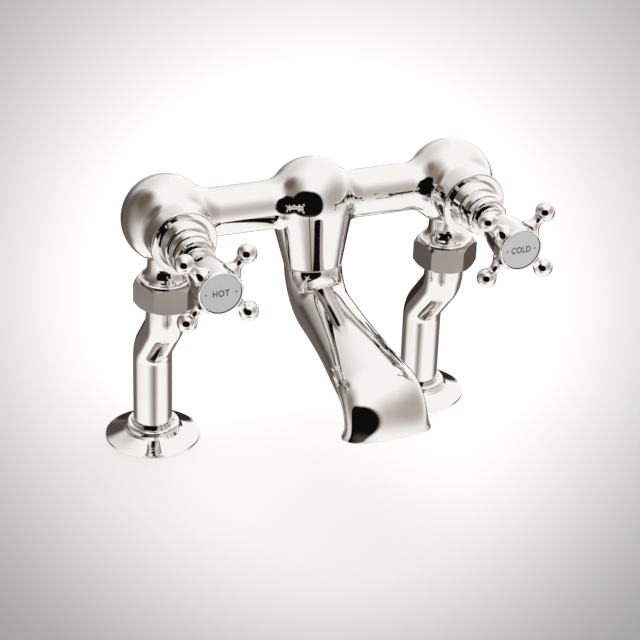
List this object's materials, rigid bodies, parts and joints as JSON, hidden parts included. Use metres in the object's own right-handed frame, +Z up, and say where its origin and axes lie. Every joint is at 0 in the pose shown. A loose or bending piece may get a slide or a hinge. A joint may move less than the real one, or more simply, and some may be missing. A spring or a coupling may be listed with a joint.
{
  "type": "deck-mounted bath filler tap",
  "caption": "Bridge-type bath filler on two cranked legs, with ball-ended cross body, flared fishtail spout and quarter-turn crosshead handles.",
  "frame": {"origin": "on the deck, midway between the two legs' inlets", "axes": "+X from the hot leg to the cold leg, +Y to the back, away from the bath, +Z up"},
  "size_m": [0.2384, 0.1942, 0.1877],
  "materials": {
    "nickel": "polished nickel plate on brass, warm tone",
    "brass": "machined",
    "steel": "plain stainless",
    "rubber": "black, matt",
    "ceramic": "lapped",
    "index_metal": "satin, with fine dark lettering"
  },
  "bodies": {
    "tap": {"body_casting": "nickel", "spout": "nickel", "spout_nipple": "brass", "spout_seal": "rubber", "hot_valve_barrel": "brass", "hot_valve_gasket": "rubber", "hot_seat_seal": "rubber", "hot_fixed_disc": "ceramic", "hot_bell": "nickel", "hot_lock_ring": "nickel", "hot_union_nut": "nickel", "hot_union_washer": "rubber", "hot_leg": "nickel", "hot_deck_flange": "nickel", "hot_flange_seal": "rubber", "cold_valve_barrel": "brass", "cold_valve_gasket": "rubber", "cold_seat_seal": "rubber", "cold_fixed_disc": "ceramic", "cold_bell": "nickel", "cold_lock_ring": "nickel", "cold_union_nut": "nickel", "cold_union_washer": "rubber", "cold_leg": "nickel", "cold_deck_flange": "nickel", "cold_flange_seal": "rubber"},
    "hot_handle": {"hot_moving_disc": "ceramic", "hot_spindle": "brass", "hot_spindle_seals": "rubber", "hot_spindle_clip": "steel", "hot_crosshead": "nickel", "hot_handle_screw": "steel", "hot_index_disc": "index_metal"},
    "cold_handle": {"cold_moving_disc": "ceramic", "cold_spindle": "brass", "cold_spindle_seals": "rubber", "cold_spindle_clip": "steel", "cold_crosshead": "nickel", "cold_handle_screw": "steel", "cold_index_disc": "index_metal"}
  },
  "joints": [
    {"name": "hot_valve", "type": "hinge", "parent": "tap", "child": "hot_handle", "pos_m": [-0.09, -0.028, 0.1615], "axis": [0, -1, 0], "range_deg": [0, 90]},
    {"name": "cold_valve", "type": "hinge", "parent": "tap", "child": "cold_handle", "pos_m": [0.09, -0.028, 0.1615], "axis": [0, 1, 0], "range_deg": [0, 90]}
  ]
}
